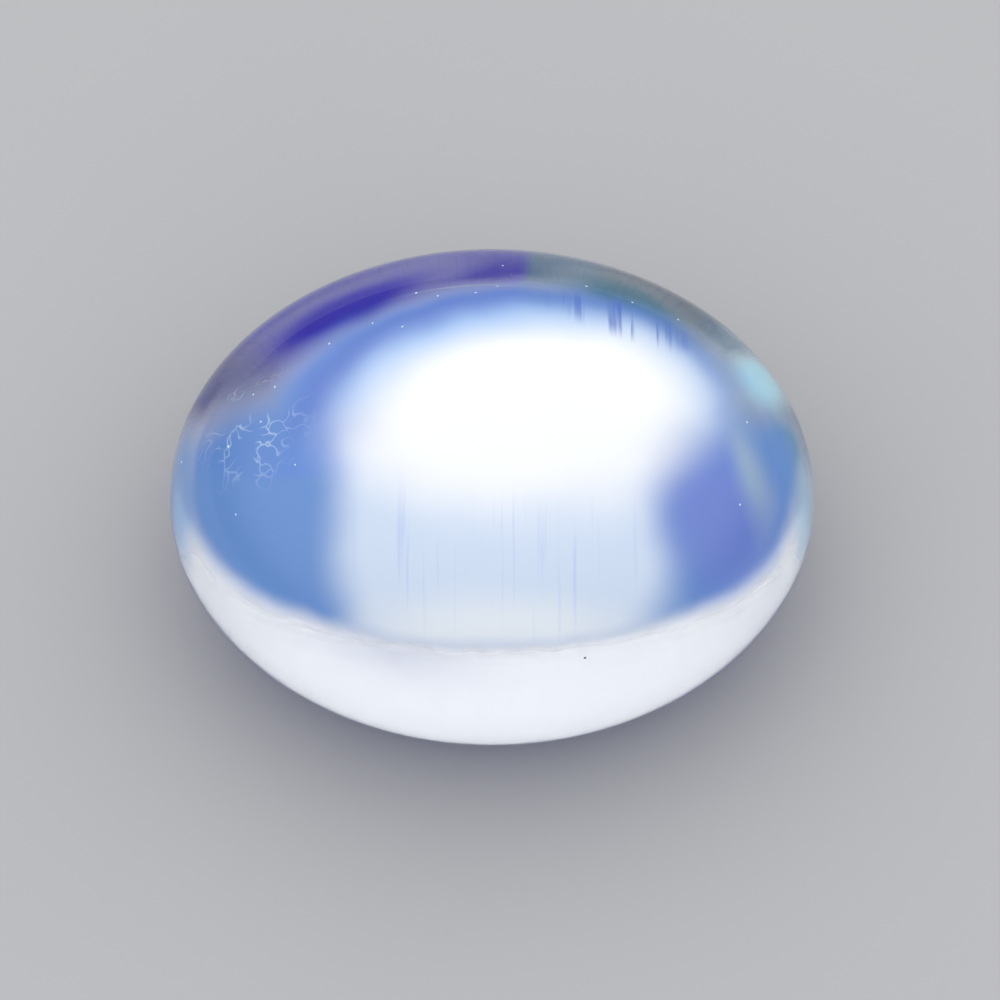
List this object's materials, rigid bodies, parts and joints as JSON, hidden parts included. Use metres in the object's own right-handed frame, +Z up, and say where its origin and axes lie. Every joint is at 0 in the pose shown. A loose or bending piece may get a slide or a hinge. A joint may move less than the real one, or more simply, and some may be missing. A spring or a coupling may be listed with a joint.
{
  "type": "polished moonstone cabochon",
  "caption": "Oval moonstone polished to a high dome, clear towards the rim, with a billowing white-blue glow and a flat underside that it rests on.",
  "frame": {"origin": "middle of the flat on the underside, which is the bottom centre of the stone's box", "axes": "+X along the oval's length, +Y along its width, +Z up through the top of the dome"},
  "size_m": [0.012, 0.01, 0.0061],
  "materials": {
    "moonstone": "polished"
  },
  "bodies": {
    "root": {"moonstone_cabochon": "moonstone"}
  },
  "joints": []
}
